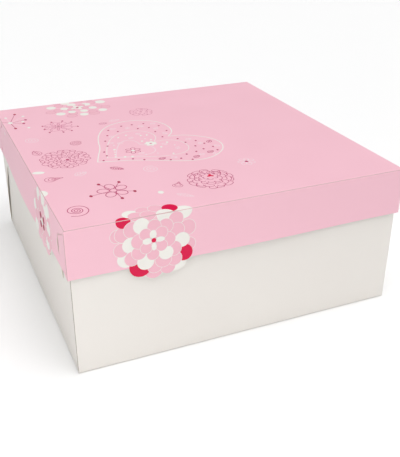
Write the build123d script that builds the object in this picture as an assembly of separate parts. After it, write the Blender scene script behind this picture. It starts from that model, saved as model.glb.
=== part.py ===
from build123d import *

import os
from dataclasses import dataclass
from math import hypot

# A square gift box for flowers, in millimetres. Each half is one die-cut sheet of folding boxboard,
# creased and folded up, so its panels meet at mitred creases and its corners are locked, not glued.
# +X is right, +Y is back, +Z is up. The origin is the middle of the box's underside.

# Sizes of the closed box
LID_WIDTH = 300.0         # left to right, over the lock flaps
LID_DEPTH = 300.0         # front to back
BOX_HEIGHT = 130.0        # underside of the base to the top of the lid
LID_SKIRT = 41.5          # height of the lid's walls

# The sheet and how it fits
BOARD = 0.6               # thickness of the boxboard
LOCK_GAP = 0.1            # between a lock flap and the wall that it lies against
END_GAP = 0.2             # between the ends of a side wall and the front or back wall
LID_CLEARANCE = 1.2       # each side, between the lid's side walls and the base's lock flaps
SLIT_CLEARANCE = 0.2      # round a tongue in its slit

# The lid's corner locks, measured from the corner crease and down from the lid's top
LID_FLAP_LENGTH = 20.0
LID_FLAP_START = 3.0
LID_FLAP_END_GAP = 0.4    # flap's lower corner, up from the skirt's free edge
LID_SLIT_START = 12.0
LID_SLIT_LENGTH = 25.0
LID_TONGUE_STAND = 0.8    # past the inner face of the side wall
SLACK_HOLE = 2.0          # diameter of the hole that ends a lid slit, so that it doesn't tear
SLACK_HOLE_OFFSET = 0.4   # its centre, past the end of the flap

# The base's corner locks, measured from the corner crease, up from the underside and down from the
# free edge, so that the slit stays near the top of a wall of any height
BASE_FLAP_LENGTH = 22.0
BASE_FLAP_START = 2.0
BASE_FLAP_END_GAP = 4.0   # flap's upper corner, down from the wall's free edge
BASE_SLIT_END_GAP = 15.4  # slit's upper end, down from the wall's free edge
BASE_SLIT_LENGTH = 39.0
BASE_TAB = 8.0            # length of tongue that lies flat inside the wall

# Petals of the flowers that the die cuts out below the skirt's free edge:
# (from the front left corner, below the edge, radius)
FRONT_PETALS = [
    (57.2, 0.2, 9.0),
    (67.7, 5.0, 7.8),
    (79.1, 4.4, 6.5),
    (86.6, 1.5, 8.0),
    (93.0, -5.0, 7.2),
]
LEFT_PETALS = [
    (66.0, 2.5, 8.5),
    (78.0, 2.0, 7.5),
    (89.5, -0.5, 7.5),
    (99.0, -4.0, 7.0),
]

# The base goes inside the lid, whose tongues pass between the two
BASE_INSET = 2 * BOARD + LOCK_GAP + LID_CLEARANCE

# The four corners: name, and its sides of X and Y, where front left is the one that is modelled
CORNERS = [
    ("front_left", -1, -1),
    ("front_right", 1, -1),
    ("back_left", -1, 1),
    ("back_right", 1, 1),
]


@dataclass
class Tray:
    """One folded sheet, standing on its panel: heights count up from the panel's outer face."""

    width: float          # outside, over the lock flaps
    depth: float          # outside
    height: float         # to the free edge of the walls
    flap_length: float    # from the corner crease to the slit
    flap_start: float     # heights of the flap's two corners at the crease
    flap_end: float
    slit_start: float     # heights of the slit's two ends
    slit_end: float
    tongue_stand: float   # past the inner face of the side wall
    tab: float            # length that lies flat along the wall, or 0 for a straight tongue
    slack_hole: float     # diameter of the hole at the slit's start, or 0 for none

    @property
    def side(self):
        """Distance from the middle to the outer face of a side wall."""
        return self.width / 2 - BOARD - LOCK_GAP

    @property
    def tongue_reach(self):
        """Length of a tongue, from the flap's outer face to its own tip."""
        return 2 * BOARD + LOCK_GAP + self.tongue_stand

    @property
    def slit_back(self):
        """Far edge of a slit, from the corner: the tongue swings through on an arc about the crease."""
        return hypot(self.flap_length, self.tongue_reach) + SLIT_CLEARANCE


def mitred_plate(width, height, left=0.0, right=0.0, bottom=0.0, top=0.0):
    """A panel of board in the XZ plane from the origin, its outer face at y = 0.

    The inner face is pulled in on the sides that are mitred for a crease.
    """
    return Wedge(
        width, BOARD, height,
        left, bottom, width - right, height - top,
        align=(Align.MIN, Align.MIN, Align.MIN),
    )


def panel(tray):
    """The square panel between the four walls: the base's floor or the lid's top."""
    width = 2 * tray.side
    plate = mitred_plate(width, tray.depth, BOARD, BOARD, BOARD, BOARD)
    return Pos(-width / 2, tray.depth / 2, 0) * Rot(90, 0, 0) * plate


def petals(cuts, edge):
    """Round petals in the XZ plane that stand past a wall's free edge, as thick as the board."""
    discs = [Pos(along, BOARD / 2, edge + past) * Rot(90, 0, 0) * Cylinder(radius, BOARD)
             for along, past, radius in cuts]
    return Part() + discs


def front_wall(tray, cuts=()):
    """A wall as wide as the sheet, mitred to the panel and to a lock flap at each end."""
    wall = mitred_plate(tray.width, tray.height, BOARD, BOARD, BOARD)
    if cuts:
        wall += petals(cuts, tray.height)
    return Pos(-tray.width / 2, -tray.depth / 2, 0) * wall


def left_wall(tray, cuts=()):
    """A side wall between front and back, with a slit near each end for a tongue."""
    start = BOARD + END_GAP
    length = tray.depth - 2 * start
    wall = mitred_plate(length, tray.height, bottom=BOARD)
    if cuts:
        wall += petals([(length + start - along, past, radius) for along, past, radius in cuts],
                       tray.height)
    wall = Pos(-tray.side, tray.depth / 2 - start, 0) * Rot(0, 0, -90) * wall
    near = tray.flap_length - BOARD - SLIT_CLEARANCE
    middle = (near + tray.slit_back) / 2 - tray.depth / 2
    slit = Pos(-tray.side, middle, (tray.slit_start + tray.slit_end) / 2) * Box(
        4 * BOARD, tray.slit_back - near, tray.slit_end - tray.slit_start)
    if tray.slack_hole:
        hole = Rot(0, 90, 0) * Cylinder(tray.slack_hole / 2, 4 * BOARD)
        hole_y = tray.flap_length + SLACK_HOLE_OFFSET - tray.depth / 2
        slit += Pos(-tray.side, hole_y, tray.slit_start) * hole
    return wall - slit - mirror(slit, Plane.XZ)


def lock_flap(tray):
    """The front left flap: it turns the corner from the front wall and lies on the left wall."""
    outline = Polyline(
        (0, tray.flap_start),
        (tray.flap_length, tray.slit_start),
        (tray.flap_length, tray.slit_end),
        (0, tray.flap_end),
        close=True,
    )
    on_wall = Plane((-tray.width / 2, -tray.depth / 2, 0), x_dir=(0, 1, 0), z_dir=(1, 0, 0))
    blank = extrude(on_wall * make_face(outline), BOARD)
    plate = mitred_plate(tray.flap_length, tray.height, left=BOARD, right=BOARD)
    corner = Pos(-tray.width / 2, tray.flap_length - tray.depth / 2, 0)
    return blank & (corner * Rot(0, 0, -90) * plate)


def tongue(tray):
    """The end of the front left flap, folded in through the slit of the left wall."""
    tip = tray.tongue_reach
    inside = 2 * BOARD + 2 * LOCK_GAP
    near = tray.flap_length - BOARD
    far = tray.flap_length
    section = [(0, far), (tip, far), (tip, near), (BOARD, near)]
    if tray.tab:
        section = [(0, far), (inside, far), (inside, far + tray.tab),
                   (inside + BOARD, far + tray.tab), (inside + BOARD, near), (BOARD, near)]
    low = tray.slit_start + SLIT_CLEARANCE
    high = tray.slit_end - SLIT_CLEARANCE
    profile = make_face(Polyline(*section, close=True))
    return Pos(-tray.width / 2, -tray.depth / 2, low) * extrude(profile, high - low)


def to_corner(piece, x_side, y_side):
    """The front left piece, mirrored to one of the four corners."""
    if x_side > 0:
        piece = mirror(piece, Plane.YZ)
    if y_side > 0:
        piece = mirror(piece, Plane.XZ)
    return piece


def fold(tray, name, panel_name, front_cuts=(), left_cuts=()):
    """Every panel of one sheet, by node name, standing on its square panel."""
    pieces = {
        f"{name}_{panel_name}": panel(tray),
        f"{name}_front_wall": front_wall(tray, front_cuts),
        f"{name}_back_wall": mirror(front_wall(tray), Plane.XZ),
        f"{name}_left_wall": left_wall(tray, left_cuts),
        f"{name}_right_wall": mirror(left_wall(tray), Plane.YZ),
    }
    for corner, x_side, y_side in CORNERS:
        pieces[f"{name}_{corner}_lock_flap"] = to_corner(lock_flap(tray), x_side, y_side)
        pieces[f"{name}_{corner}_tongue"] = to_corner(tongue(tray), x_side, y_side)
    return pieces


base_height = BOX_HEIGHT - BOARD
base = Tray(
    width=LID_WIDTH - 2 * BASE_INSET,
    depth=LID_DEPTH - 2 * BASE_INSET,
    height=base_height,
    flap_length=BASE_FLAP_LENGTH,
    flap_start=BASE_FLAP_START,
    flap_end=base_height - BASE_FLAP_END_GAP,
    slit_start=base_height - BASE_SLIT_END_GAP - BASE_SLIT_LENGTH,
    slit_end=base_height - BASE_SLIT_END_GAP,
    tongue_stand=0.0,
    tab=BASE_TAB,
    slack_hole=0.0,
)
lid = Tray(
    width=LID_WIDTH,
    depth=LID_DEPTH,
    height=LID_SKIRT,
    flap_length=LID_FLAP_LENGTH,
    flap_start=LID_FLAP_START,
    flap_end=LID_SKIRT - LID_FLAP_END_GAP,
    slit_start=LID_SLIT_START,
    slit_end=LID_SLIT_START + LID_SLIT_LENGTH,
    tongue_stand=LID_TONGUE_STAND,
    tab=0.0,
    slack_hole=SLACK_HOLE,
)

parts = fold(base, "base", "floor")
for node, piece in fold(lid, "lid", "top", FRONT_PETALS, LEFT_PETALS).items():
    parts[node] = Pos(0, 0, BOX_HEIGHT) * mirror(piece, Plane.XY)

os.makedirs("parts", exist_ok=True)
for node, piece in parts.items():
    solids = piece.solids()
    print(node, "solids", len(solids), "volume", round(sum(s.volume for s in solids), 1))
    shape = solids[0] if len(solids) == 1 else piece
    export_step(shape, f"parts/{node}.step")
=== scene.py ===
# %% [markdown]
# # A square flower box of printed folding boxboard
#
# The real object is two die-cut sheets of coated board, about 0.6 mm thick. Each is creased,
# folded up into a tray and locked at its corners by flaps whose tongues enter slits, so there
# is no glue. The lid's sheet is printed with flowers before it is folded, and the print runs
# over the creases. This file follows that order: sheet, creases, print, fold, light.

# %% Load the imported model
import math

import bmesh
import bpy
from mathutils import Matrix, Vector


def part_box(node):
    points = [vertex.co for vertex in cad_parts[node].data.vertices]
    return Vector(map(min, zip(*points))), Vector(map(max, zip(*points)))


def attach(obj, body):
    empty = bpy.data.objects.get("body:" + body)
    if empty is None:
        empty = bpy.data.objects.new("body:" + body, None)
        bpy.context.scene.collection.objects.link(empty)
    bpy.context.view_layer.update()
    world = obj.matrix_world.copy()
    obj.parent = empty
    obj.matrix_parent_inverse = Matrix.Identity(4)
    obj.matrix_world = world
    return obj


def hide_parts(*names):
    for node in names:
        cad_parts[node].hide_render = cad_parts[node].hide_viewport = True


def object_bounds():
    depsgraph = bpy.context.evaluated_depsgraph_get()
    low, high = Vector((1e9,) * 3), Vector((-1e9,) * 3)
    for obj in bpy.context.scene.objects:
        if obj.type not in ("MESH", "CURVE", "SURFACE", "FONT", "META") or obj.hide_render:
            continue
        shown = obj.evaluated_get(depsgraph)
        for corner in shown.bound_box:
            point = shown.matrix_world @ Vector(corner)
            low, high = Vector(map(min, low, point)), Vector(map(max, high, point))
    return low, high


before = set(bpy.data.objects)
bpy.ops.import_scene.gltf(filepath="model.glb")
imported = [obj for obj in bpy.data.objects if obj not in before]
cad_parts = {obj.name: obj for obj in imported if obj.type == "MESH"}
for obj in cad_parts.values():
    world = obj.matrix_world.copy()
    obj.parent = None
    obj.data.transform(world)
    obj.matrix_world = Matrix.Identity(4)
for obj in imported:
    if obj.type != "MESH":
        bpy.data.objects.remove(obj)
cad_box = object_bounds()
MM = 0.001
print("CAD box:", cad_box)

# %% [markdown]
# ## Where the sheet lies
#
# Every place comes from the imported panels. The lid's top lies between two side creases and the
# front and back creases, and a wall hangs from each crease.

# %% Read the lid's creases from the panels
top_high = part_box("lid_top")[1]
back_low, back_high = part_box("lid_back_wall")
SIDE = top_high.x          # the side creases, left and right of the middle
FRONT = -top_high.y        # the front crease
BACK = top_high.y
TOP = top_high.z
SKIRT = back_high.z - back_low.z
BOARD = back_high.y - back_low.y
print("board", round(BOARD / MM, 2), "mm, skirt", round(SKIRT / MM, 1), "mm")

# %% [markdown]
# ## The bow of a lid wall
#
# A lid wall is held by its crease above and by a lock at each end. Its free lower edge isn't held
# in the middle, so it stands a little proud there. One function gives that bow, because the board
# and the ink on it have to move together. The locks stay flat, so the bow starts past them.
#
# A folded tongue is stiffer than the wall that it is tucked into, so it pushes out the far lip of
# its slit. The lip shows its cut edge there, beside the end of the flap.

# %% One bow for the board and for its print
BOW_START = 25 * MM        # past the lock flap
BOW = {"front": 2.0 * MM, "left": 2.6 * MM, "back": 1.6 * MM, "right": 1.8 * MM}


def bow(side, along, down):
    """How far a wall stands out, at a place along it from its middle and down from its crease."""
    half = BACK - BOW_START
    share = max(0.0, 1 - (along / half) ** 2)
    return BOW[side] * share ** 2 * down / SKIRT


LIP_REACH = 11 * MM        # how far from its slit a lip starts to lift
LIFT = {"lid": 1.6 * MM, "base": 1.75 * MM}
SLITS = {}                 # each sheet's slits: how far along a side wall, and their two heights
for sheet in LIFT:
    flap_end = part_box(f"{sheet}_front_left_lock_flap")[1]
    tongue_low, tongue_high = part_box(f"{sheet}_front_left_tongue")
    SLITS[sheet] = (-flap_end.y, tongue_low.z, tongue_high.z)


def lip(sheet, along, z):
    """How far a side wall stands out beside a slit, at a place along it and a height. It is most
    a quarter of the way along the slit, on the side of the panel that the wall hangs from."""
    far, low, high = SLITS[sheet]
    inward, share = (far - abs(along)) / LIP_REACH, (z - low) / (high - low)
    if not (0 <= inward < 1 and 0 < share < 1):
        return 0.0
    from_panel = share if sheet == "base" else 1 - share
    return LIFT[sheet] * (1 - inward) ** 2 * math.sin(math.pi * from_panel ** 0.5)


print("bow at mid-edge:", {side: round(bow(side, 0, SKIRT) / MM, 1) for side in BOW}, "mm")

# %% [markdown]
# ## Small helpers
#
# Colours are written as sRGB hex, which is what a designer reads off a swatch, and one function
# turns them to the linear values that the shader wants. One more function adds a shader node
# with its settings and its links, and the rest are built from it.

# %% Colour and shader nodes


def colour(code):
    """An sRGB hex colour as linear red, green, blue and full alpha."""
    parts = [int(code[i:i + 2], 16) / 255 for i in (1, 3, 5)]
    linear = [c / 12.92 if c <= 0.04045 else ((c + 0.055) / 1.055) ** 2.4 for c in parts]
    return (*linear, 1.0)


def add(tree, kind, settings=None, **inputs):
    """Adds a node. settings are its own properties; inputs are values, or sockets to link from.
    An input is given by its name, or as _6 by its number where names repeat."""
    node = tree.nodes.new(kind)
    for name, value in (settings or {}).items():
        setattr(node, name, value)
    for name, value in inputs.items():
        by_number = name[1:].isdigit()
        socket = node.inputs[int(name[1:]) if by_number else name.replace("_", " ")]
        if isinstance(value, bpy.types.NodeSocket):
            tree.links.new(value, socket)
        else:
            socket.default_value = value
    return node


def mix(tree, share, first, second):
    """A blend of two colours, each a value or a socket, by a share from 0 to 1."""
    node = add(tree, "ShaderNodeMix", {"data_type": "RGBA"}, Factor=share, _6=first, _7=second)
    return node.outputs[2]


def new_material(name):
    """An empty material and its node tree, with a Principled BSDF already at the output."""
    made = bpy.data.materials.new(name)
    made.use_nodes = True
    tree = made.node_tree
    tree.nodes.clear()
    shader = add(tree, "ShaderNodeBsdfPrincipled")
    add(tree, "ShaderNodeOutputMaterial", Surface=shader.outputs["BSDF"])
    return made, tree, shader


# %% [markdown]
# ## Coated folding boxboard
#
# Boxboard is layers of pulp with a thin white clay coating, which is calendered: pressed between
# steel rolls until it is smooth but not shiny. What the eye gets is an even colour, a soft sheen
# that is a little uneven, and a very fine tooth. The fibres are 20 to 50 micrometres wide, far too
# fine to show, so the tooth here is drawn about ten times coarser, at half a millimetre.

# %% Board materials
TOOTH = 0.5 * MM           # drawn size of the coating's grain
CLOUD = 45 * MM            # the slow change of tone across a sheet
FIBRE_LENGTH = 4           # fibres lie along the sheet: a mark is this many times longer than wide
FLECK = (0.62, 0.8)        # the range of the grain over which a fleck comes up
FLECK_SHARE = 0.35         # how much of its own colour a full fleck shows
SHEEN_RANGE = (0.3, 0.7)   # the range of the clouds over which the sheen goes from low to high
SHEEN_SWING = 0.05         # change of roughness either way
TOOTH_STRENGTH = 0.25
COATING_IOR = 1.5


def coated_board(name, base, cloud, speck, rough, tooth):
    """A board face: one tone with slow clouds, faint specks, uneven sheen and a fine tooth."""
    made, tree, shader = new_material(name)
    place = add(tree, "ShaderNodeTexCoord").outputs["Object"]
    along = add(tree, "ShaderNodeMapping", Vector=place, Scale=(1 / FIBRE_LENGTH, 1, 1))
    clouds = add(tree, "ShaderNodeTexNoise", Vector=place, Scale=1 / CLOUD, Detail=3.0)
    grain = add(tree, "ShaderNodeTexNoise", Vector=along.outputs["Vector"], Scale=1 / TOOTH,
                Detail=4.0)
    tone = mix(tree, clouds.outputs["Fac"], colour(base), colour(cloud))
    fleck = add(tree, "ShaderNodeMapRange", Value=grain.outputs["Fac"], From_Min=FLECK[0],
                From_Max=FLECK[1], To_Min=0.0, To_Max=FLECK_SHARE)
    flecked = mix(tree, fleck.outputs["Result"], tone, colour(speck))
    tree.links.new(flecked, shader.inputs["Base Color"])
    sheen = add(tree, "ShaderNodeMapRange", Value=clouds.outputs["Fac"], From_Min=SHEEN_RANGE[0],
                From_Max=SHEEN_RANGE[1], To_Min=rough - SHEEN_SWING, To_Max=rough + SHEEN_SWING)
    tree.links.new(sheen.outputs["Result"], shader.inputs["Roughness"])
    bump = add(tree, "ShaderNodeBump", Height=grain.outputs["Fac"], Strength=TOOTH_STRENGTH,
               Distance=tooth)
    tree.links.new(bump.outputs["Normal"], shader.inputs["Normal"])
    shader.inputs["IOR"].default_value = COATING_IOR
    return made


# Each face as its tone, its clouds and its specks, then its roughness and the depth of its tooth
pink_board = coated_board("offset_printed_pink_boxboard", "#F9C4D2", "#FAC7D5", "#F1B9C9",
                          0.5, 0.012 * MM)
white_board = coated_board("white_coated_boxboard", "#EFEAE4", "#F1EDE7", "#E6E0D8",
                           0.55, 0.012 * MM)
board_back = coated_board("uncoated_boxboard_back", "#E9E4DB", "#ECE8E0", "#D9D1C4",
                          0.8, 0.03 * MM)
board_core = coated_board("cut_edge_of_boxboard_pulp", "#E2DACB", "#E7E0D3", "#CFC4B2",
                          0.9, 0.05 * MM)
print("board faces:", pink_board.name, white_board.name, board_back.name, board_core.name)

# %% [markdown]
# ## Creases
#
# A crease is pressed into the sheet with a steel rule, and the fold then stretches the outer
# layer. The ink and coating craze along it, and the grey-brown pulp shows through in a broken
# line less than a millimetre wide. So the crease material is two colours, chosen by a noise that
# is a few millimetres long.

# %% Crazed crease materials
CRAZE = 2.2 * MM           # length of a break in the ink
BREAK = (0.62, 0.82)       # the range of the noise over which pulp gives way to ink, before bare
CRAZED_ROUGHNESS = 0.75


def crazed(name, ink, pulp, bare):
    """A fold line: ink broken by bare pulp; bare is about the share of it that shows."""
    made, tree, shader = new_material(name)
    place = add(tree, "ShaderNodeTexCoord").outputs["Object"]
    breaks = add(tree, "ShaderNodeTexNoise", Vector=place, Scale=1 / CRAZE, Detail=4.0,
                 Roughness=0.7)
    share = add(tree, "ShaderNodeMapRange", Value=breaks.outputs["Fac"],
                From_Min=BREAK[0] - bare / 2, From_Max=BREAK[1] - bare / 2)
    broken = mix(tree, share.outputs["Result"], colour(pulp), colour(ink))
    tree.links.new(broken, shader.inputs["Base Color"])
    shader.inputs["Roughness"].default_value = CRAZED_ROUGHNESS
    return made


pink_crease = crazed("crazed_ink_on_the_lid_crease", "#D6B2B4", "#93877D", 0.95)
white_crease = crazed("crazed_coating_on_the_base_crease", "#ADA499", "#756B60", 0.8)

# %% [markdown]
# ## Offset ink
#
# The flowers are printed in crimson, rose and pale pink. Carmine is rose over crimson, blush is
# rose in a fine screen, and white is the coating with nothing on it. Offset ink is only a few
# micrometres thick and takes the sheen of the board under it. Its tone is almost flat, with a
# trace of mottle where the coating drank more of it.

# %% Ink materials
MOTTLE = 3 * MM            # size of a patch of mottle
INK_ROUGHNESS = 0.48
INK_SPECULAR = 0.3


def offset_ink(name, code, mottled):
    """A printed colour with a faint mottle between two close tones."""
    made, tree, shader = new_material(name)
    place = add(tree, "ShaderNodeTexCoord").outputs["Object"]
    mottle = add(tree, "ShaderNodeTexNoise", Vector=place, Scale=1 / MOTTLE, Detail=3.0)
    tone = mix(tree, mottle.outputs["Fac"], colour(code), colour(mottled))
    tree.links.new(tone, shader.inputs["Base Color"])
    shader.inputs["Roughness"].default_value = INK_ROUGHNESS
    shader.inputs["Specular IOR Level"].default_value = INK_SPECULAR
    return made


ink_materials = {
    "crimson": offset_ink("crimson_offset_ink", "#DC0045", "#E0084C"),
    "carmine": offset_ink("carmine_offset_ink", "#AF1B4A", "#B5224F"),
    "rose": offset_ink("rose_offset_ink", "#BC3F6F", "#C24A78"),
    "blush": offset_ink("blush_screened_ink", "#D988A4", "#DC8EA9"),
    "petal": offset_ink("petal_pink_offset_ink", "#F4BCCA", "#F5BFCD"),
    "white": offset_ink("unprinted_white_coating", "#F3F0E9", "#F5F2EC"),
    "faint": offset_ink("pale_tint_of_white", "#F8DDE4", "#F9DFE5"),
}
print("inks:", ", ".join(ink_materials))

# %% [markdown]
# ## Panels of board
#
# Each panel already has its exact outline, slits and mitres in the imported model, so the shown
# panel starts as a merged copy of it. Four things make it board rather than plate: its outer
# corner is cut back along each crease, its faces differ (printed outside, plain inside, pulp at
# the cut edge), a wall that bends is cut into small cells, and then it bows.

# %% Build a shown panel from a packed one
CREASE_CUT = 0.3 * MM      # depth that the fold takes off a sharp outer corner
CELL = 3 * MM              # a wall that bends is made of square cells this wide
WELD = 1e-7                # in metres: points closer than this are one point
SHARP_EDGE = math.radians(25)
FACING = 0.99              # least cosine between a face's normal and the way that it faces
OUT = {"top": (0, 0, 1), "floor": (0, 0, -1), "front": (0, -1, 0), "back": (0, 1, 0),
       "left": (-1, 0, 0), "right": (1, 0, 0)}
PRINTED, INSIDE, EDGE, CREASE = range(4)


def cut_back(bm, point, normal):
    """Drops what is beyond a plane and closes the cut."""
    geometry = bm.verts[:] + bm.edges[:] + bm.faces[:]
    cut = bmesh.ops.bisect_plane(bm, geom=geometry, dist=WELD, plane_co=point, plane_no=normal,
                                 clear_outer=True)
    edges = [e for e in cut["geom_cut"] if isinstance(e, bmesh.types.BMEdge) and e.is_boundary]
    bmesh.ops.holes_fill(bm, edges=edges)


def cut_cells(bm, faces, axes):
    """Cuts faces into square cells, at whole multiples of the cell width along each axis."""
    parts = [*faces, *(e for f in faces for e in f.edges), *(v for f in faces for v in f.verts)]
    geometry = list(dict.fromkeys(parts))      # each one once
    for axis in axes:
        places = [v.co[axis] for f in faces for v in f.verts if f.is_valid]
        for i in range(math.ceil(min(places) / CELL), math.floor(max(places) / CELL) + 1):
            line_up = Vector([float(axis == other) for other in range(3)])
            geometry = bmesh.ops.bisect_plane(bm, geom=geometry, dist=WELD,
                                              plane_co=line_up * i * CELL,
                                              plane_no=line_up)["geom"]
        faces = [g for g in geometry if isinstance(g, bmesh.types.BMFace)]


def object_from(bm, name, materials):
    """A finished mesh at the origin, smooth except across real edges."""
    mesh = bpy.data.meshes.new(name)
    for material in materials:
        mesh.materials.append(material)
    bm.to_mesh(mesh)
    bm.free()
    mesh.shade_smooth()
    mesh.set_sharp_from_angle(angle=SHARP_EDGE)
    made = bpy.data.objects.new(name, mesh)
    bpy.context.scene.collection.objects.link(made)
    return made


def panel(node, name, body, side, folds, materials, bend=None):
    """The shown panel for a CAD node. folds are the sides that it creases to; bend moves a point."""
    bm = bmesh.new()
    bm.from_mesh(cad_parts[node].data)
    bmesh.ops.remove_doubles(bm, verts=bm.verts, dist=WELD)
    low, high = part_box(node)
    outward = Vector(OUT[side])
    creased = []
    for other in folds:
        normal = (outward + Vector(OUT[other])).normalized()
        corner = Vector([high[i] if normal[i] > 0 else low[i] for i in range(3)])
        creased += [(corner - normal * CREASE_CUT, normal)]
    for point, normal in creased:
        cut_back(bm, point, normal)
    if bend:
        cut_cells(bm, bm.faces[:], (0, 2) if side in ("front", "back") else (1, 2))
    bmesh.ops.recalc_face_normals(bm, faces=bm.faces)
    for face in bm.faces:
        facing = face.normal.dot(outward)
        face.material_index = PRINTED if facing > FACING else INSIDE if facing < -FACING else EDGE
        if any(face.normal.dot(normal) > FACING for _, normal in creased):
            face.material_index = CREASE
    if bend:
        for vert in bm.verts:
            vert.co = bend(vert.co)
    made = object_from(bm, name, materials)
    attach(made, body)
    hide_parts(node)
    return made


def bowed(side):
    """Moves a point of a lid wall out by the wall's bow, and by its lips if it has slits."""
    def move(co):
        if side in ("front", "back"):
            return co + Vector(OUT[side]) * bow(side, co.x, TOP - co.z)
        return co + Vector(OUT[side]) * (bow(side, co.y, TOP - co.z) + lip("lid", co.y, co.z))
    return move


# %% [markdown]
# ### The lid's sheet
#
# Five panels: the top, and four walls that each fold from it. The front and back walls also fold
# round the corners into the lock flaps.

# %% Lid panels
LID_FACES = [pink_board, board_back, board_core, pink_crease]
panel("lid_top", "printed_lid_top", "lid", "top", ["front", "back", "left", "right"],
      LID_FACES)
for side in ("front", "back"):
    panel(f"lid_{side}_wall", f"printed_lid_{side}_wall", "lid", side, ["top", "left", "right"],
          LID_FACES, bowed(side))
for side in ("left", "right"):
    panel(f"lid_{side}_wall", f"printed_lid_{side}_wall", "lid", side, ["top"],
          LID_FACES, bowed(side))

# %% [markdown]
# ### Lock flaps and tongues
#
# At each corner a flap turns from the front or back wall onto the side wall, and its end, the
# tongue, is tucked in through a slit. On the lid each flap with its tongue swings by itself, so
# it rides on its own body.

# %% Lid corner locks
CORNERS = [(end, side) for end in ("front", "back") for side in ("left", "right")]
for end, side in CORNERS:
    corner = f"{end}_{side}"
    body = f"lid_{corner}_lock"
    panel(f"lid_{corner}_lock_flap", f"printed_lid_{corner}_flap", body, side, [end],
          LID_FACES)
    tongue_side = "back" if end == "front" else "front"
    panel(f"lid_{corner}_tongue", f"printed_lid_{corner}_tongue", body, tongue_side, [],
          LID_FACES)

# %% [markdown]
# ### The base's sheet
#
# The base is the same construction, plain white and deeper. Its walls are held by the lid, so
# they stay straight apart from the lips of their slits. The back left flap has sprung away from
# the wall along its slanted edge, between the crease and the slit that hold it.

# %% Base panels and corner locks
FLAP_LIFT = 1.2 * MM       # how far the sprung flap stands off
FLAP_LOW, FLAP_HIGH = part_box("base_back_left_lock_flap")
SLIT_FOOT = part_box("base_back_left_tongue")[0].z


def base_lips(side):
    """Moves a point of a base side wall out by the lips of its slits."""
    return lambda co: co + Vector(OUT[side]) * lip("base", co.y, co.z)


def sprung(co):
    """Moves a point of the back left flap out, most halfway along its slanted edge, where the
    two shares are a half each: the 4 makes their product there come to 1."""
    from_crease = (FLAP_HIGH.y - co.y) / (FLAP_HIGH.y - FLAP_LOW.y)
    to_slit = max(0.0, (SLIT_FOOT - co.z) / (SLIT_FOOT - FLAP_LOW.z))
    return co + Vector(OUT["left"]) * 4 * FLAP_LIFT * from_crease * to_slit


BASE_FACES = [white_board, board_back, board_core, white_crease]
panel("base_floor", "white_base_floor", "base", "floor", ["front", "back", "left", "right"],
      BASE_FACES)
for side in ("front", "back"):
    panel(f"base_{side}_wall", f"white_base_{side}_wall", "base", side, ["floor", "left", "right"],
          BASE_FACES)
for side in ("left", "right"):
    panel(f"base_{side}_wall", f"white_base_{side}_wall", "base", side, ["floor"],
          BASE_FACES, base_lips(side))
for end, side in CORNERS:
    corner = f"{end}_{side}"
    panel(f"base_{corner}_lock_flap", f"white_base_{corner}_flap", "base", side, [end],
          BASE_FACES, sprung if corner == "back_left" else None)
    tongue_side = "back" if end == "front" else "front"
    panel(f"base_{corner}_tongue", f"white_base_{corner}_tongue", "base", tongue_side, [],
          BASE_FACES)

# %% [markdown]
# ## Printing on the flat sheet
#
# The printer lays the artwork on the flat sheet, and the fold comes later. So every shape here is
# drawn in millimetres on the flat lid: x to the right, y to the back, with the front wall below
# the front crease and the left wall beyond the left one. A filled shape is a disc that is squashed
# and turned. A line is a curve with a round section, which is then pressed flat. Shapes that
# overlap get heights a hundredth of a millimetre apart, so that the later one covers the earlier.
# Places and radii are in millimetres and turns are in degrees.

# %% Filled shapes and lines, by ink
LEVEL = 0.01 * MM          # height between one layer of print and the next
LINE = 0.5 * MM            # half the width of a line of weight 1
PRESSED = 0.01             # how flat a line is pressed
RIM = 0.33                 # width of a rimmed petal's rim, in millimetres
RING_POINTS = 8
inks = {name: bmesh.new() for name in ink_materials}
lines = {name: [] for name in ink_materials}
laid = []                  # the place, reach and level of each disc so far


def disc(ink, x, y, rx, ry=None, turn=0.0, segments=28, rim=None):
    """A filled circle or ellipse of ink, one level above what it covers. rim is its rim's ink."""
    ry = ry or rx
    reach = max(rx, ry)
    covered = [k for u, v, r, k in laid if math.hypot(x - u, y - v) < reach + r]
    level = max(covered, default=0) + 1
    laid.append((x, y, reach, level + (1 if rim else 0)))
    for kind, inset in (((rim, 0), (ink, RIM)) if rim else ((ink, 0),)):
        place = (Matrix.Translation((x * MM, y * MM, level * LEVEL))
                 @ Matrix.Rotation(math.radians(turn), 4, "Z")
                 @ Matrix.Diagonal(((rx - inset) * MM, (ry - inset) * MM, 1, 1)))
        bmesh.ops.create_circle(inks[kind], cap_ends=True, segments=segments, radius=1, matrix=place)
        level += 1


def line(ink, points, weight=0.6, closed=False):
    """A smooth line of ink through points on the flat sheet."""
    lines[ink].append((points, weight, closed))


def ring(ink, x, y, rx, ry=None, turn=0.0, weight=0.6):
    """An outlined circle or ellipse."""
    ry = ry or rx
    c, s = math.cos(math.radians(turn)), math.sin(math.radians(turn))
    points = []
    for i in range(RING_POINTS):
        angle = i * math.tau / RING_POINTS
        u, v = rx * math.cos(angle), ry * math.sin(angle)
        points.append((x + u * c - v * s, y + u * s + v * c))
    line(ink, points, weight, closed=True)


def around(x, y, distance, angle):
    """The point at a distance and an angle in degrees from another."""
    return x + distance * math.cos(math.radians(angle)), y + distance * math.sin(math.radians(angle))


# %% [markdown]
# ### Round flowers that cross the creases
#
# Three big flowers are built like a dahlia: rings of round petals, each ring lying on the one
# outside it. Most petals are pink with a white rim, some are white and a few are crimson. Each
# petal is one disc, or two for a rimmed petal, and they are laid from the outside in.

# %% A flower of overlapping petals


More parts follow.
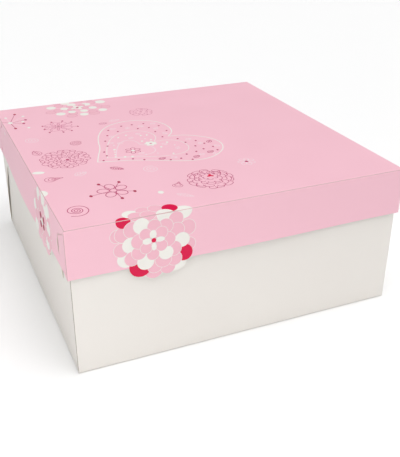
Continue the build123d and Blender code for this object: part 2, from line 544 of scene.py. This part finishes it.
def flower(x, y, petals, rim="white", deep="crimson"):
    """Petals from the outside in, each as its place from the flower's centre, its radius and kind.
    Kind p is pink with a rim, w is white and c is the deep ink."""
    for right, up, radius, kind in petals:
        if kind == "p":
            disc("petal", x + right, y + up, radius, rim=rim)
        else:
            disc("white" if kind == "w" else deep, x + right, y + up, radius)


FRONT_FLOWER = (-82.5, -170.3)
FRONT_FLOWER_PETALS = [
    # outermost: the die cuts round those that hang below the wall
    (-28.8, 8.7, 5.8, "p"), (-24.3, 9.2, 6.8, "p"), (28.0, 5.7, 7.0, "p"), (28.7, -8.8, 6.0, "p"),
    (18.3, -22.2, 8.2, "w"), (-0.7, -25.7, 8.0, "p"), (10.8, -25.1, 6.7, "p"), (24.7, -15.6, 7.2, "c"),
    (-22.8, -12.3, 7.0, "w"), (-11.3, -20.8, 9.2, "c"), (-26.1, -3.6, 6.2, "p"), (-23.6, 20.2, 5.8, "c"),
    (-15.3, 28.7, 6.6, "w"), (-4.5, 31.5, 6.0, "p"), (5.5, 31.5, 6.0, "p"), (25.0, 21.0, 7.3, "w"),
    (16.2, 28.2, 6.3, "c"),
    # third ring
    (-12.5, 24.5, 6.4, "p"), (-3.0, 23.5, 6.4, "p"), (9.7, 20.7, 6.9, "w"), (18.6, 14.8, 6.3, "p"),
    (19.0, 5.2, 6.6, "p"), (-16.8, 11.9, 7.0, "p"), (-18.5, -0.8, 6.8, "w"), (-17.8, -12.6, 6.5, "p"),
    (0.2, -22.6, 6.4, "p"), (23.2, -4.0, 6.4, "w"), (16.7, -19.3, 6.3, "p"), (7.4, -18.3, 7.0, "p"),
    (-7.1, -17.4, 7.0, "w"), (16.2, -10.3, 6.6, "p"),
    # second ring
    (9.7, -12.6, 6.1, "w"), (-9.5, 13.9, 6.6, "w"), (9.7, 10.2, 6.6, "p"), (0.7, 11.9, 5.8, "p"),
    (11.4, -1.3, 6.6, "p"), (-12.1, -8.5, 6.3, "p"), (-11.8, 1.2, 6.6, "p"), (-1.0, -11.8, 5.4, "p"),
    # first ring
    (-6.6, 6.2, 5.1, "p"), (6.4, 5.5, 5.4, "p"), (6.2, -5.6, 5.0, "p"), (-6.3, -5.6, 5.1, "p"),
]


def flower_eye(x, y):
    """The cross of four small petals and the round eye in a flower's middle."""
    for dx, dy, rx, ry in [(-0.4, 5.2, 2.8, 3.7), (-5.3, 0, 3.8, 2.7), (5.2, 0, 3.8, 2.2),
                           (0, -5.3, 2.1, 3.5)]:
        disc("white", x + dx, y + dy, rx, ry)
    disc("crimson", x, y, 1.9)


flower(*FRONT_FLOWER, FRONT_FLOWER_PETALS)
flower_eye(*FRONT_FLOWER)

# %% [markdown]
# The flower on the left wall is laid the same way. On the flat sheet that wall lies beyond the
# left crease, so a step to the left there is a step down the folded wall.

# %% The left wall's flower
LEFT_FLOWER = (-178.3, -71.0)
LEFT_FLOWER_PETALS = [
    (-12.5, -15.5, 8.5, "p"), (-12.0, -3.5, 7.5, "p"), (-9.5, 8.0, 7.5, "p"), (-6.0, 17.5, 7.0, "p"),
    (-9.0, -22.5, 6.0, "p"), (0.5, -25.5, 5.8, "p"), (10.0, -24.0, 5.6, "p"), (19.0, -22.5, 5.8, "w"),
    (5.0, 24.0, 5.8, "w"), (15.0, 20.5, 5.6, "p"), (-12.0, 21.5, 6.0, "w"), (20.5, 10.0, 6.2, "w"),
    (25.5, -7.1, 6.8, "w"),
    (-14.0, -14.0, 5.4, "w"), (-14.5, -2.0, 5.2, "p"), (-11.5, 9.5, 5.4, "p"), (-2.0, 20.0, 5.6, "p"),
    (9.0, 17.5, 5.4, "p"), (16.0, 4.0, 5.4, "p"), (18.0, -5.5, 5.2, "w"), (14.5, -15.5, 5.6, "w"),
    (2.5, -20.5, 6.2, "w"), (-6.5, -16.5, 5.4, "p"),
    (-10.5, -5.5, 5.0, "p"), (-8.5, 5.5, 5.0, "p"), (1.0, 12.0, 5.0, "p"), (11.0, 8.0, 5.0, "p"),
    (12.0, -3.5, 5.0, "p"), (6.0, -11.5, 5.0, "p"), (-4.5, -11.5, 5.0, "p"),
    (3.5, 5.5, 3.1, "c"), (2.5, -4.0, 3.1, "c"), (-5.0, 6.0, 3.1, "c"), (-4.0, -3.0, 3.1, "c"),
]
flower(*LEFT_FLOWER, LEFT_FLOWER_PETALS, deep="carmine")
disc("white", LEFT_FLOWER[0] - 0.8, LEFT_FLOWER[1] + 1.2, 3.2)

# %% [markdown]
# The third one crosses the back crease. Its pink petals have rose rims instead of white ones.

# %% The back edge's flower
BACK_FLOWER = (-67.0, 131.5)
BACK_FLOWER_PETALS = [
    (-30.0, -6.0, 5.5, "p"), (29.0, -8.0, 5.5, "p"), (28.5, 11.0, 5.6, "w"), (-26.5, 9.0, 5.2, "w"),
    (-17.0, 24.0, 5.6, "p"), (17.5, 24.0, 5.6, "p"), (0.5, 30.0, 5.6, "w"), (-12.0, -25.0, 5.6, "p"),
    (12.0, -25.0, 5.6, "p"), (1.0, -25.0, 4.6, "w"),
    (-21.5, -15.0, 5.0, "w"), (23.5, -17.5, 4.6, "w"), (-21.5, -3.0, 5.0, "p"), (22.0, -3.0, 5.0, "p"),
    (-17.5, 13.0, 5.0, "p"), (18.5, 12.0, 5.0, "p"), (-9.0, 20.0, 5.0, "w"), (6.0, 20.5, 5.0, "p"),
    (-9.0, -18.0, 4.8, "p"), (12.5, -18.0, 4.8, "p"),
    (-14.0, 1.0, 4.4, "w"), (15.5, -6.0, 4.4, "w"), (11.5, 8.0, 5.0, "w"), (-3.5, 12.5, 4.8, "w"),
    (-9.0, -12.5, 4.2, "w"), (4.0, -13.0, 4.2, "w"),
    (-8.0, -4.0, 3.8, "p"), (8.0, -3.0, 3.8, "p"), (6.5, 6.5, 3.6, "p"), (-7.0, 6.0, 3.6, "p"),
]
flower(*BACK_FLOWER, BACK_FLOWER_PETALS, rim="blush")
for turn in (20, 110, 200, 290):
    fx, fy = around(*BACK_FLOWER, 4.2, turn)
    disc("white", fx, fy, 3.4, 2.2, turn)
disc("rose", *BACK_FLOWER, 1.6)
ALL_PETALS = FRONT_FLOWER_PETALS + LEFT_FLOWER_PETALS + BACK_FLOWER_PETALS
print("flower petals:", len(ALL_PETALS))

# %% [markdown]
# ### Line drawings
#
# The rest of the artwork is pen drawing, most of it in rose: spirals, leaves, drops and open
# flowers. Each kind is a short function that works out its own points, so it can be drawn
# anywhere at any size. A bare number in one is a share of the drawing's own length or radius.

# %% Spirals, leaves, drops and daisies
TURN_POINTS = 8             # points to one turn of a spiral
SPIRAL_END = 0.93           # share of its radius that a spiral loses by its end
# A leaf's edge, in half lengths and half widths, and its veins: where the first starts, how far
# along the leaf they go, how far forward one leans and how far out it reaches
LEAF_EDGE = ((-1, 0), (-0.45, 0.9), (0.2, 0.85), (1, 0))
VEIN_START, VEIN_SPAN, VEIN_LEAN, VEIN_REACH = 0.6, 0.7, 0.28, 0.6
# A drop's edge, in lengths and widths, and how much smaller each one inside it is
DROP_EDGE = ((0.5, 0), (0.12, 0.2), (-0.25, 0.48), (-0.5, 0), (-0.25, -0.48), (0.12, -0.2), (0.5, 0))
DROP_STEP = 0.38
TIP_RADIUS = 1.7            # of a stamen's tip, which is a little taller than wide


def turned_place(x, y, u, v, turn):
    """A point u along and v across a drawing that stands at x, y and is turned."""
    c, s = math.cos(math.radians(turn)), math.sin(math.radians(turn))
    return x + u * c - v * s, y + u * s + v * c


def spiral(ink, x, y, radius, turns=3.0, start=0.0, weight=0.6, tail=0.0):
    """A spiral from the outside in. A tail makes its first turn come in from further out."""
    steps = int(turns * TURN_POINTS)
    points = []
    for i in range(steps + 1):
        loose = tail * max(0, 1 - i / TURN_POINTS) ** 0.5
        reach = radius * (1 - SPIRAL_END * i / steps) + loose
        points.append(around(x, y, reach, start + i * 360 / TURN_POINTS))
    line(ink, points, weight)


def leaf(ink, x, y, length, width, turn, veins=0, weight=0.5):
    """A pointed leaf outline with a midrib and pairs of veins."""
    def at(u, v):
        return turned_place(x, y, u, v, turn)
    half, side = length / 2, width / 2
    for sign in (1, -1):
        line(ink, [at(half * u, sign * side * v) for u, v in LEAF_EDGE], weight)
    line(ink, [at(-half, 0), at(half, 0)], weight)
    for i in range(veins):
        root = -half * VEIN_START + i * length * VEIN_SPAN / veins
        for sign in (1, -1):
            tip = at(root + width * VEIN_LEAN, sign * side * VEIN_REACH)
            line(ink, [at(root, 0), tip], weight * 0.8)


def drop(ink, x, y, length, width, turn, rings=2, weight=0.5):
    """Drops one inside another: round at one end and pointed at the other."""
    for i in range(rings):
        k = 1 - i * DROP_STEP
        points = [turned_place(x, y, u * length * k, v * width * k, turn) for u, v in DROP_EDGE]
        line(ink, points, weight)


def daisy(ink, x, y, radius, petals, eye_ink, weight=None):
    """A small flower: filled petals round an eye, or outlined ones if it has a line weight."""
    for i in range(petals):
        angle = i * 360 / petals + 15
        px, py = around(x, y, radius * 0.6, angle)
        if weight:
            ring(ink, px, py, radius * 0.4, radius * 0.27, angle, weight)
        else:
            disc(ink, px, py, radius * 0.44, radius * 0.3, angle, segments=14)
    disc(eye_ink, x, y, radius * 0.22, segments=12)


def part_way(start, end, share):
    """The point at a share of the way from one to another."""
    return start[0] + (end[0] - start[0]) * share, start[1] + (end[1] - start[1]) * share


def stamen_flower(x, y, radius, petals, tips, start, weight=0.7, ink="rose"):
    """An open flower of outlined petals, with a thin stamen to each tip point."""
    ring(ink, x, y, radius * 0.24)
    for i in range(petals):
        angle = start + i * 360 / petals
        px, py = around(x, y, radius * 0.66, angle)
        ring(ink, px, py, radius * 0.4, radius * 0.33, angle, weight)
    for tip in tips:
        line(ink, [part_way((x, y), tip, 0.25), tip], weight * 0.75)
        disc("carmine", *tip, TIP_RADIUS * 0.8, TIP_RADIUS * 1.15, segments=14)


def mum(x, y, rings, ink="rose", weight=0.5):
    """A chrysanthemum in outline: rings of open scallops, each as (distance, petal size, count).
    Two slow waves make the petals uneven, as a pen does."""
    for k, (distance, size, count) in enumerate(rings):
        step = 360 / count
        for i in range(count):
            angle = (i + k / 2 + 0.16 * math.sin(i * 2.3 + k * 1.7)) * step
            reach = distance + size * (0.5 + 0.22 * math.sin(i * 3.1 + k))
            half = step * (0.5 + 0.08 * math.sin(i * 1.9 + k))
            foot, shoulder = distance - size * 0.12, distance + (reach - distance) * 0.75
            line(ink, [around(x, y, foot, angle - half),
                       around(x, y, shoulder, angle - half * 0.72),
                       around(x, y, reach, angle),
                       around(x, y, shoulder, angle + half * 0.72),
                       around(x, y, foot, angle + half)], weight)


# %% [markdown]
# Now the drawings are placed. They fill the front left half of the lid and leave its right side
# plain, with a few pale ones that are hardly there.

# %% Drawings on the lid's top
mum(-115.6, -11.0, [(19.3, 5.5, 20), (15.2, 5.2, 17), (11.2, 4.8, 14), (7.4, 4.2, 11), (4.0, 3.2, 8)],
    weight=0.55)
disc("rose", -114.0, -14.0, 1.5, 2.2, segments=12)
mum(-14.0, -102.5, [(17.5, 5.2, 13), (14.6, 5.0, 11)], weight=0.6)
mum(-13.2, -100.5, [(11.5, 4.4, 10), (8.6, 3.8, 8)], weight=0.6)
mum(-12.4, -97.5, [(5.6, 3.2, 7)], weight=0.55)
for turn in (80, 200, 320):
    disc("crimson", *around(-11.6, -96.4, 1.4, turn), 2.0, 1.3, turn, segments=12)
stamen_flower(-96.3, -94.0, 12.4, 5,
              [(-104, -78), (-87, -79.5), (-80.7, -102), (-94.2, -111), (-116, -98)], 96)
spiral("rose", -133.2, -119.3, 7.2, 3.6, 232, 0.72, tail=3.0)
spiral("rose", -96.3, 24.0, 6.2, 3.4, 20, 0.5)
spiral("faint", -132.5, 47.5, 7.2, 2.6, 90, 0.7)
spiral("faint", -52.5, -63.0, 7.4, 2.6, 60, 0.7)
leaf("rose", -136.0, 12.5, 13, 8.5, 107, veins=3)
leaf("rose", -79.5, -50.5, 13, 6, -38, veins=4, weight=0.6)
leaf("blush", -56.5, 69.5, 9, 6, 0, veins=3, weight=0.6)
leaf("faint", -111.5, -50.0, 12, 8, 20, veins=3, weight=0.7)
leaf("faint", -46.0, -125.0, 15, 5, -42, veins=4)
leaf("faint", -43.0, 75.0, 12, 6, 10, veins=3)
drop("rose", -135.0, -52.6, 16, 10, 2, rings=3)
drop("rose", -43.5, -103.0, 11, 9, 60, rings=2, weight=0.45)
disc("white", -144.3, -34.3, 5.2, 3.0, -14)
disc("white", -62.2, -112.3, 2.4, 2.9)
daisy("faint", 31.5, -79.5, 8.0, 7, "rose", weight=0.7)
disc("rose", 31.5, -79.5, 1.3, 1.9, -20, segments=12)
mum(-8.5, 90.5, [(9.5, 5.5, 8), (5.5, 4.2, 6)], "blush", 0.75)
disc("blush", -8.5, 91.0, 1.6, segments=12)
LACE = (-100.5, 77.5)
stamen_flower(*LACE, 13.5, 8, [], 10, weight=0.6, ink="blush")
for turn in range(0, 360, 45):
    ring("blush", *around(*LACE, 6.6, turn + 32), 2.2, 1.5, turn + 32, 0.5)
for tip in [(-115.0, 84.5), (-104.0, 93.5), (-92.7, 93.3), (-85.0, 86.5), (-82.3, 71.0), (-91.0, 61.0),
            (-99.7, 59.5), (-112.5, 63.5), (-115.2, 74.2)]:
    line("rose", [part_way(LACE, tip, 0.66), tip], 0.5)
    disc("rose", *tip, 0.95, 1.7, segments=12)
disc("rose", *LACE, 2.0, 1.8, segments=14)
for turn in (40, 160, 280):
    disc("white", *around(*LACE, 1.2, turn), 0.5, segments=10)

# %% [markdown]
# A burst of stems with round tips stands in the back left corner. Some tips are carmine or rose,
# and some are the white of the board.

# %% The burst in the back left corner
BURST = (-143.0, 107.0)
for tip, ink in [((-133.8, 133.5), "carmine"), ((-141.0, 88.3), "carmine"), ((-126.7, 111.5), "rose"),
                 ((-130.5, 101.0), "rose"), ((-144.5, 125.0), "white"), ((-126.8, 124.0), "white"),
                 ((-130.3, 106.7), "white"), ((-128.3, 86.0), "white"), ((-157.0, 118.0), "rose"),
                 ((-158.0, 98.0), "white")]:
    line("rose" if ink != "white" else "faint", [part_way(BURST, tip, 0.1), tip], 0.55)
    disc(ink, *tip, 1.5, 2.1, segments=14)
disc("white", *BURST, 2.4, 2.9, segments=16)

# %% [markdown]
# ### The heart
#
# Three hearts lie one inside another, drawn in white, the innermost faintly. Seeds and little
# leaves are scattered between the outer two, and white dots inside the second. Each heart is two
# smooth lines that meet at its tip and its notch.

# %% Heart outlines and seeds
OUTER_LEFT = [
    (-90.9, -30.2), (-85.4, -14.0), (-79.4, 2.1), (-75.2, 22.3), (-67.8, 42.5), (-57.7, 56.6),
    (-45.7, 64.6), (-31.6, 67.2), (-15.5, 63.1), (-3.4, 52.5), (1.4, 35.4), (-1.4, 19.3), (-9.0, 8.7),
]
OUTER_RIGHT = [
    (-9.0, 8.7), (5.6, 6.2), (19.7, -3.4), (27.3, -13.0), (30.6, -26.1), (27.8, -38.2), (20.7, -48.3),
    (9.7, -56.4), (-3.4, -59.4), (-20.5, -55.9), (-38.6, -47.3), (-60.8, -37.7), (-90.9, -30.2),
]
MIDDLE_LEFT = [
    (-79.9, -23.6), (-76.4, -10.0), (-71.3, 5.1), (-65.8, 17.2), (-58.8, 27.3), (-49.7, 34.4),
    (-38.6, 36.9), (-27.6, 32.4), (-21.3, 22.3), (-21.5, 10.2), (-26.6, 0.1),
]
MIDDLE_RIGHT = [
    (-26.6, 0.1), (-14.5, -0.4), (-5.4, -6.0), (-1.4, -15.0), (-1.9, -26.1), (-7.4, -34.7),
    (-18.5, -39.2), (-34.6, -37.7), (-56.7, -30.7), (-79.9, -23.6),
]
INNER_LEFT = [
    (-72.3, -25.1), (-67.8, -12.0), (-61.8, 2.1), (-55.7, 10.7), (-48.2, 12.7), (-42.7, 6.2),
    (-41.6, -2.9),
]
INNER_RIGHT = [
    (-41.6, -2.9), (-35.6, -8.0), (-32.6, -16.0), (-35.1, -24.6), (-43.7, -29.1), (-56.7, -28.6),
    (-72.3, -25.1),
]
for half in (OUTER_LEFT, OUTER_RIGHT):
    line("white", half, 0.95)
for half in (MIDDLE_LEFT, MIDDLE_RIGHT):
    line("white", half, 0.55)
for half in (INNER_LEFT, INNER_RIGHT):
    line("faint", half, 0.8)

SEEDS = [(-78.5, -8.4), (-79, -18.5), (-85, -28.5), (-71.8, -31.5), (-59.6, -34.7), (-50.8, -40.3),
         (-29.2, -49.8), (-19.2, -50), (-10.8, -42.5), (-10.7, -56.4), (0, -39.5), (8.9, -36),
         (19.8, -43.3), (19.5, -33.8), (4.9, -26), (15.4, -23), (0, -13.5), (10.8, -13),
         (-3.2, -1.5), (-71.2, 5), (-69.3, 18.8), (-63, 33), (-57.8, 47.1), (-42, 54.5),
         (-30.8, 54.5), (-18.8, 53.5), (-50, 40.5), (-29, 41), (-17.8, 39.7), (-6.6, 41.5),
         (-16, 26), (-4.6, 24.7), (-14.8, 9.3)]
for sx, sy in SEEDS:
    disc("rose", sx, sy, 1.0, 1.5, -16, segments=12)
for sx, sy, turn in [(-35, -44, 10), (-4.5, -51.3, 25), (12, -45, 20), (22, -19.5, 50)]:
    leaf("rose", sx, sy, 7, 5, turn, veins=2, weight=0.6)
SMALL_DOT = 1.15            # a dot up to this radius is printed faintly
WHITE_DOTS = [(-68, -6.2, 1.5), (-64.5, -27.3, 1.5), (-58, -28.5, 1.3), (-33, 20.5, 1.2),
              (-32, 11, 1.1), (-37, 5.5, 1.4), (-27.7, 6, 1.2), (-55, 23.5, 1.2), (-46, 27, 1.3),
              (-27, 20, 1.3), (-16, -6.5, 1.4), (-25.5, -16, 1.3), (-21, -36, 1.3),
              (-53.5, 12, 1.0), (-65, 5, 1.1), (-34, -30, 1.0), (-45, -29, 1.1), (-12, -16, 1.1)]
for dx, dy, r in WHITE_DOTS:
    disc("white" if r > SMALL_DOT else "faint", dx, dy, r * 0.8, r * 1.25, -18, segments=12)
for dx, dy in [(-69.5, -12.5), (-71, -18.5), (-72.5, -24)]:
    disc("white", dx, dy, 0.9, 1.2, segments=12)
FAINT_LEAVES = [(-52, 50), (-38, 47), (-24, 47), (-10, 50), (-60, 28), (-66, 12), (-12, 35),
                (-9, 18), (6, -6), (12, -21), (24, -33), (2, -48), (14, -51), (-24, -45), (-44, 18),
                (-34, 26), (-58, 8), (-12, -24), (-20, -10), (-48, -24)]
for i, (lx, ly) in enumerate(FAINT_LEAVES):
    leaf("faint", lx, ly, 6, 4.4, i * 67, veins=1, weight=0.55)
daisy("white", -31.5, -3.8, 6.0, 7, "blush")
daisy("rose", -52.8, -15.0, 7.5, 6, "white", weight=0.6)
disc("white", -52.8, -15.0, 1.9, segments=14)
print("seeds in the heart:", len(SEEDS))

# %% [markdown]
# ## Folding the print with the board
#
# Paper shrinks a little as it dries and the die never meets the print exactly, so the artwork
# lies a millimetre or two off the sheet's middle. Each ink becomes one thin mesh. Its lines are
# curves that Blender turns to mesh, pressed flat on the sheet. Then the print is cut along the
# creases, because ink that crosses a fold cracks there, and each part is carried to its panel by
# the same fold that the board made.

# %% Fold each ink onto the lid
INK_THICK = 0.01 * MM
LINE_LEVEL = 0.4 * LEVEL   # lines lie under the lowest discs
STRETCH = (0.994, 0.9915)  # the dried sheet against the artwork
REGISTER = (0.4 * MM, -2.1 * MM)   # how far off the sheet's middle the print lies
BARE = 0.42 * MM           # ink lost on each side of a crease
CUT = 1e-8                 # in metres: a point this close to a cut lies on it


def fold(co):
    """Carries a point of the flat sheet to the folded lid; its z is the height above the print."""
    x, y, h = co
    if y < FRONT:
        down = FRONT - y
        return Vector((x, FRONT - h - bow("front", x, down), TOP - down))
    if y > BACK:
        down = y - BACK
        return Vector((x, BACK + h + bow("back", x, down), TOP - down))
    if x < -SIDE:
        down = -SIDE - x
        return Vector((-SIDE - h - bow("left", y, down), y, TOP - down))
    return Vector((x, y, TOP + h))


def lines_to_mesh(strokes):
    """Every line of one ink as a mesh of thin round tubes."""
    curve = bpy.data.curves.new("print_lines", "CURVE")
    curve.dimensions = "3D"
    curve.bevel_depth = LINE
    curve.bevel_resolution = 0
    curve.resolution_u = 4
    curve.use_fill_caps = True
    curve.twist_mode = "Z_UP"
    for points, weight, closed in strokes:
        spline = curve.splines.new("BEZIER")
        spline.bezier_points.add(len(points) - 1)
        spline.use_cyclic_u = closed
        for knot, (x, y) in zip(spline.bezier_points, points):
            knot.co = (x * MM, y * MM, 0)
            knot.radius = weight
            knot.handle_left_type = knot.handle_right_type = "AUTO"
    holder = bpy.data.objects.new("print_lines", curve)
    bpy.context.scene.collection.objects.link(holder)
    bpy.context.view_layer.update()
    ready = holder.evaluated_get(bpy.context.evaluated_depsgraph_get())
    mesh = bpy.data.meshes.new_from_object(ready)
    bpy.data.objects.remove(holder)
    return mesh


def bare_band(bm, axis, crease):
    """Cuts the ink away in the narrow band along a crease, and closes the cuts."""
    line_up = Vector([float(axis == other) for other in range(3)])
    for edge_at in (crease - BARE, crease + BARE):
        bmesh.ops.bisect_plane(bm, geom=bm.verts[:] + bm.edges[:] + bm.faces[:], dist=CUT,
                               plane_co=line_up * edge_at, plane_no=line_up)
    lost = [f for f in bm.faces if abs(f.calc_center_median()[axis] - crease) < BARE]
    bmesh.ops.delete(bm, geom=lost, context="FACES")
    bmesh.ops.holes_fill(bm, edges=[e for e in bm.edges if e.is_boundary])


def print_ink(name):
    """One ink's discs and lines, cut at the creases and folded onto the lid."""
    bm = inks[name]
    bmesh.ops.solidify(bm, geom=bm.faces[:], thickness=INK_THICK)
    if lines[name]:
        mesh = lines_to_mesh(lines[name])
        flat = Matrix.Translation((0, 0, LINE_LEVEL)) @ Matrix.Diagonal((1, 1, PRESSED, 1))
        mesh.transform(flat)
        bm.from_mesh(mesh)
        bpy.data.meshes.remove(mesh)
    placed = Matrix.Translation((*REGISTER, 0)) @ Matrix.Diagonal((*STRETCH, 1, 1))
    bmesh.ops.transform(bm, verts=bm.verts, matrix=placed)
    bare_band(bm, 1, FRONT)
    bare_band(bm, 1, BACK)
    bare_band(bm, 0, -SIDE)
    middles = {face: face.calc_center_median() for face in bm.faces}
    beyond = [f for f, m in middles.items() if m.x < -SIDE and abs(m.y) > BACK]
    for test in (lambda m: m.y < FRONT, lambda m: m.y > BACK, lambda m: m.x < -SIDE):
        wall = [f for f, m in middles.items() if test(m) and f not in beyond]
        if wall:
            cut_cells(bm, wall, (0, 1))
    bmesh.ops.delete(bm, geom=beyond, context="FACES")
    for vert in bm.verts:
        vert.co = fold(vert.co)
    bmesh.ops.recalc_face_normals(bm, faces=bm.faces)
    made = object_from(bm, f"{name}_ink_on_lid", [ink_materials[name]])
    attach(made, "lid")
    print(made.name, len(made.data.polygons), "faces")


for name in inks:
    print_ink(name)

# %% [markdown]
# ## Floor, light and camera
#
# The object is lit as for a catalogue, on a bright white floor. Large silks above, to the right
# and in front give light that is almost even and has very soft shadows; a sun lamp with a wide
# angle acts as one. Two small soft boxes near the front left corner make the left side fall off
# to the back. The studio's walls look white, but they add only a tenth of their light, because
# more of it would wash out that fall. The camera looks at the corner from above.

# %% Pale floor
FLOOR_REACH = 9.0          # metres each way from the box
FLOOR_GAP = 0.2 * MM       # under the box, so that the two don't share a face
floor_bm = bmesh.new()
bmesh.ops.create_grid(floor_bm, x_segments=1, y_segments=1, size=FLOOR_REACH)
for vert in floor_bm.verts:
    vert.co.z = -FLOOR_GAP
floor_material, _, floor_shader = new_material("pale_studio_floor")
floor_shader.inputs["Base Color"].default_value = colour("#FFFFFF")
floor_shader.inputs["Roughness"].default_value = 0.9
floor = object_from(floor_bm, "floor", [floor_material])

# %% Soft light
WALL_LIGHT = 0.10          # share of its look that the white wall gives as light
world = bpy.data.worlds.new("studio")
world.use_nodes = True
world_tree = world.node_tree
world_tree.nodes.clear()
seen = add(world_tree, "ShaderNodeLightPath").outputs["Is Camera Ray"]
strength = add(world_tree, "ShaderNodeMapRange", Value=seen, To_Min=WALL_LIGHT, To_Max=1.0)
studio_wall = add(world_tree, "ShaderNodeBackground", Color=(1, 1, 1, 1),
                  Strength=strength.outputs["Result"])
add(world_tree, "ShaderNodeOutputWorld", Surface=studio_wall.outputs["Background"])
bpy.context.scene.world = world


def lamp(name, kind, place, aim, power, **settings):
    """A lamp at a place, turned to an aim point. Its power is in watts, or in watts to a square
    metre for a sun. Settings are its size in metres or its angle in radians."""
    data = bpy.data.lights.new(name, kind)
    data.energy = power
    for key, value in settings.items():
        setattr(data, key, value)
    made = bpy.data.objects.new(name, data)
    made.location = place
    made.rotation_euler = (Vector(aim) - Vector(place)).to_track_quat("-Z", "Y").to_euler()
    bpy.context.scene.collection.objects.link(made)


lamp("overhead_silk", "SUN", (0, -0.1, 1), (0, 0, 0), 2.13, angle=1.4)
lamp("right_silk", "SUN", (0.6, -0.3, 1), (0, 0, 0), 0.77, angle=1.2)
lamp("front_silk", "SUN", (0.5, -1, 0.5), (0, 0, 0), 0.17, angle=1.0)
lamp("front_left_soft_box", "AREA", (-0.75, -0.6, 0.35), (-0.15, -0.15, 0.08), 0.5, size=0.5)
lamp("corner_soft_box", "AREA", (-0.6, -0.52, 0.22), (-0.15, -0.15, 0.06), 0.55, size=0.3)

# %% Camera
WIDTH = cad_box[1][0] - cad_box[0][0]
AZIMUTH, ELEVATION, ROLL = -23.69, 27.30, 0.33   # degrees
LENS = 55.29               # mm, on a 36 mm sensor along the picture's long side
DISTANCE, RIGHTWARD, UPWARD = 2.350, 0.0692, -0.1001   # in box widths, from the box's middle
az, el = math.radians(AZIMUTH), math.radians(ELEVATION)
backward = Vector((math.sin(az) * math.cos(el), -math.cos(az) * math.cos(el), math.sin(el)))
right = Vector((math.cos(az), math.sin(az), 0))
up = backward.cross(right)
middle = Vector((0, 0, TOP / 2))
eye = middle + WIDTH * (backward * DISTANCE + right * RIGHTWARD + up * UPWARD)
turned = Matrix.Rotation(math.radians(ROLL), 3, backward)
axes = Matrix((turned @ right, turned @ up, backward)).transposed().to_4x4()
camera_data = bpy.data.cameras.new("camera")
camera_data.lens = LENS
camera = bpy.data.objects.new("camera", camera_data)
camera.matrix_world = Matrix.Translation(eye) @ axes
bpy.context.scene.collection.objects.link(camera)
bpy.context.scene.camera = camera
bpy.context.scene.view_settings.view_transform = "Standard"
print("camera at", [round(c, 3) for c in eye])
